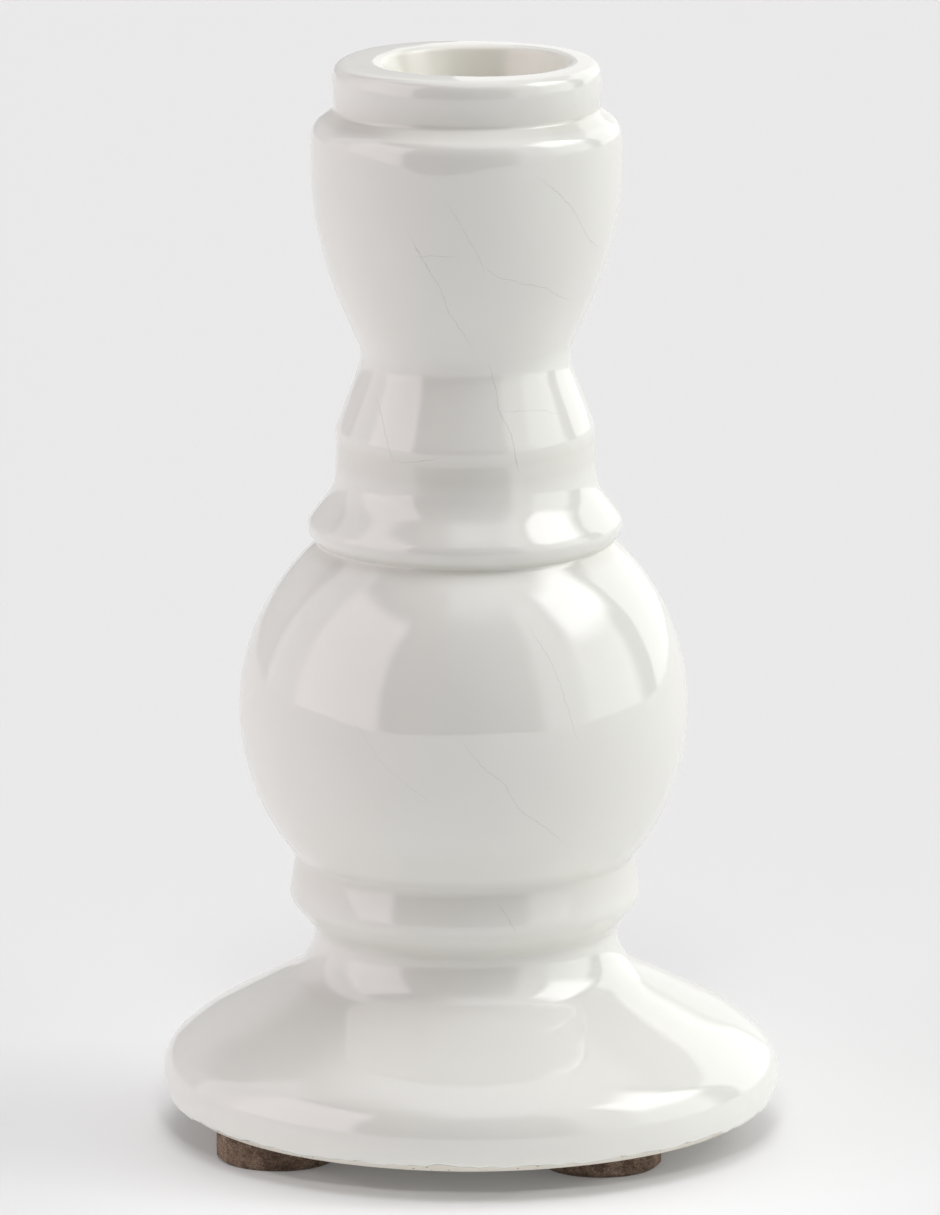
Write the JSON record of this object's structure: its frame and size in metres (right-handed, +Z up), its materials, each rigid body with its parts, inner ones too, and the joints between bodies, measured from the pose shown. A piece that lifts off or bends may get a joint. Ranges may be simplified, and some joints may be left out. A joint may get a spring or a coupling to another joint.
{
  "type": "taper candlestick",
  "caption": "Glazed ceramic candlestick with a turned profile, a round taper socket and stick-on felt pads.",
  "frame": {"origin": "centre of the three felt pads' common resting plane, on the turned axis", "axes": "+Z up along the turned axis, out of the candle socket's mouth; +X to the right and -Y towards the front of the piece, between the two front pads"},
  "size_m": [0.0896, 0.0896, 0.1588],
  "materials": {
    "fired_clay": "matt, bisque-fired white earthenware",
    "crackle_glaze": "glossy white glaze with fine craze lines",
    "pressed_felt": "brown pressed wool felt",
    "adhesive": "pressure-sensitive adhesive film"
  },
  "bodies": {
    "root": {"ceramic_body": "fired_clay", "glaze_coat": "crackle_glaze", "pad_adhesive_1": "adhesive", "pad_adhesive_2": "adhesive", "pad_adhesive_3": "adhesive", "felt_pad_1": "pressed_felt", "felt_pad_2": "pressed_felt", "felt_pad_3": "pressed_felt"}
  },
  "joints": []
}
